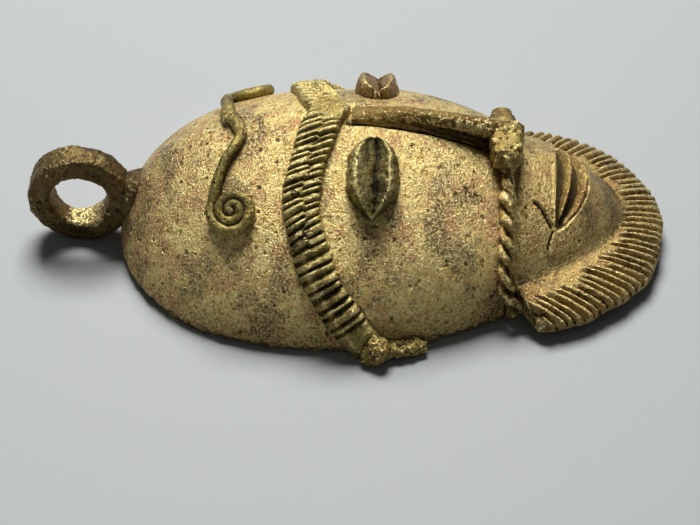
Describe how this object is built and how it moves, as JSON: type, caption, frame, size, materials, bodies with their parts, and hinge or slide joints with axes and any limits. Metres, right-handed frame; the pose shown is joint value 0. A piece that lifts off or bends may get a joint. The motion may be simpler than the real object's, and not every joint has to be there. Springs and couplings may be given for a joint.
{
  "type": "mask pendant",
  "caption": "Hollow cast pendant in the form of a stylised face mask, with coiled threads on the forehead, a ribbed headband, slit eyes, a ribbed beard collar and a hanging loop.",
  "frame": {"origin": "middle of the bounding box in plan, on the plane that the open back's rim rests on", "axes": "+Y from the beard to the hanging loop, +Z out of the face, +X to the left of the face (the viewer's right when the loop is up)"},
  "size_m": [0.0548, 0.09, 0.0239],
  "materials": {
    "brass": "worn cast brass, sandy and pitted, golden tan with olive and copper patches",
    "green_brass": "cast brass with a thin greenish patina",
    "dark_brass": "cast brass darkened to olive brown in its recesses"
  },
  "bodies": {
    "root": {"head_shell": "brass", "chin_shell": "brass", "beard_collar": "brass", "hanging_loop": "dark_brass", "forehead_scroll_right": "green_brass", "forehead_scroll_left": "green_brass", "headband_right": "green_brass", "headband_left": "green_brass", "ear_right": "brass", "ear_left": "brass", "eye_right": "dark_brass", "eye_left": "dark_brass", "nose_ridge": "brass", "nostril_right": "brass", "nostril_left": "brass", "cheek_cord_a_right": "dark_brass", "cheek_cord_a_left": "dark_brass", "cheek_cord_b_right": "dark_brass", "cheek_cord_b_left": "dark_brass", "upper_lip": "brass", "lower_lip": "brass"}
  },
  "joints": []
}
